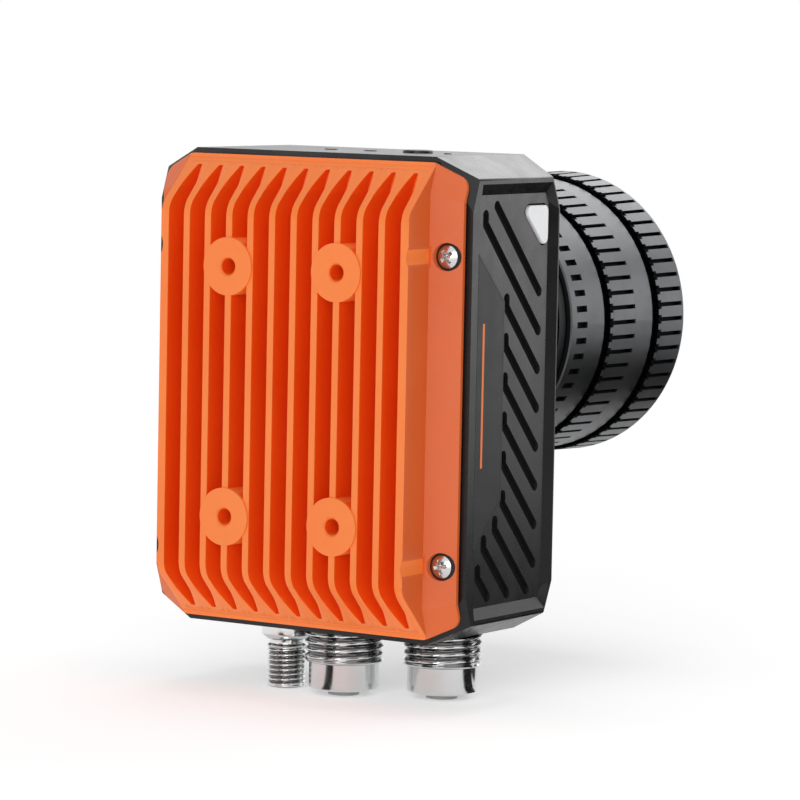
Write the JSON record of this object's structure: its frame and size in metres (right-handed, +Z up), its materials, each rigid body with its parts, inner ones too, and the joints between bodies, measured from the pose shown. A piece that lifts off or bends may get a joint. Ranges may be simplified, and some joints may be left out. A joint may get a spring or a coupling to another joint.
{
  "type": "machine vision camera",
  "caption": "Box machine vision camera with a finned rear heat sink, a manual zoom lens whose rings turn, and round threaded connectors underneath.",
  "frame": {"origin": "centre of the four rear mounting holes, in the plane of their boss faces", "axes": "+Y forward along the lens axis, +Z up, away from the connectors, +X to the right seen from behind"},
  "size_m": [0.0752, 0.1074, 0.1102],
  "materials": {
    "orange_coat": "semi-matt orange coat on cast aluminium",
    "body_coat": "matt black powder coat on cast aluminium",
    "inlay_plastic": "matt black plate with a thin orange line",
    "window_plastic": "milky white light window",
    "screw_steel": "bright plated steel",
    "black_steel": "blackened steel",
    "lens_anodised": "satin black anodised aluminium",
    "lens_glass": "coated optical glass",
    "board_green": "green circuit board",
    "chip_plastic": "black moulded package",
    "post_brass": "turned brass",
    "contact_brass": "gold plated contacts",
    "thermal_pad": "soft grey gap pad",
    "seal_rubber": "black rubber",
    "insert_plastic": "black moulded insulator",
    "button_plastic": "black button cap",
    "nickel": "nickel plated brass"
  },
  "bodies": {
    "camera_body": {"heat_sink": "orange_coat", "rear_gasket": "seal_rubber", "housing": "body_coat", "side_inlay_right": "inlay_plastic", "side_inlay_left": "inlay_plastic", "status_window_right": "window_plastic", "status_window_left": "window_plastic", "cover_screws": "screw_steel", "lens_mount_ring": "lens_anodised", "mount_ring_screws": "black_steel", "board_screws": "screw_steel", "sensor_board": "board_green", "image_sensor": "chip_plastic", "sensor_glass": "lens_glass", "sensor_posts": "post_brass", "main_board": "board_green", "main_posts": "post_brass", "processor": "chip_plastic", "thermal_pad": "thermal_pad", "board_link": "chip_plastic", "connector_board": "board_green", "connector_board_posts": "post_brass", "board_header": "chip_plastic", "status_board": "board_green", "status_board_posts": "post_brass", "button_switch": "chip_plastic", "status_leds": "window_plastic", "indicator_lights": "window_plastic", "m8_shell": "nickel", "m8_nut": "nickel", "m8_insert": "insert_plastic", "m8_pins": "contact_brass", "m12_power_shell": "nickel", "m12_power_seal": "seal_rubber", "m12_power_insert": "insert_plastic", "m12_power_contacts": "contact_brass", "m12_data_shell": "nickel", "m12_data_seal": "seal_rubber", "m12_data_insert": "insert_plastic", "m12_data_contacts": "contact_brass", "lens_barrel": "lens_anodised", "iris_diaphragm": "black_steel", "rear_glass": "lens_glass", "rear_retainer": "lens_anodised", "iris_spacer": "lens_anodised", "zoom_spacer": "lens_anodised"},
    "iris_body": {"iris_ring": "lens_anodised", "iris_lock_screw": "black_steel"},
    "zoom_body": {"zoom_ring": "lens_anodised", "zoom_lock_screw": "black_steel"},
    "focus_body": {"focus_ring": "lens_anodised"},
    "zoom_carriage": {"zoom_cell": "lens_anodised", "zoom_glass": "lens_glass", "zoom_retainer": "lens_anodised"},
    "focus_carriage": {"focus_cell": "lens_anodised", "front_glass": "lens_glass", "front_retainer": "lens_anodised"},
    "button_body": {"push_button": "button_plastic"}
  },
  "joints": [
    {"name": "iris_turn", "type": "hinge", "parent": "camera_body", "child": "iris_body", "pos_m": [0, 0.0716, 0.0122], "axis": [0, 1, 0], "range_deg": [0, 90]},
    {"name": "zoom_turn", "type": "hinge", "parent": "camera_body", "child": "zoom_body", "pos_m": [0, 0.0876, 0.0122], "axis": [0, 1, 0], "range_deg": [0, 90]},
    {"name": "focus_turn", "type": "hinge", "parent": "camera_body", "child": "focus_body", "pos_m": [0, 0.1022, 0.0122], "axis": [0, 1, 0], "range_deg": [0, 180]},
    {"name": "zoom_travel", "type": "slide", "parent": "camera_body", "child": "zoom_carriage", "axis": [0, 1, 0], "range_m": [0, 0.003]},
    {"name": "focus_travel", "type": "slide", "parent": "camera_body", "child": "focus_carriage", "axis": [0, 1, 0], "range_m": [0, 0.003]},
    {"name": "button_press", "type": "slide", "parent": "camera_body", "child": "button_body", "axis": [0, 0, -1], "range_m": [0, 0.0007], "stiffness_N_per_m": 400, "springref_m": -0.001}
  ],
  "couplings": [
    {"joint": "zoom_travel", "follows": "zoom_turn", "m_per_rad": 0.0019},
    {"joint": "focus_travel", "follows": "focus_turn", "m_per_rad": 0.00095}
  ]
}
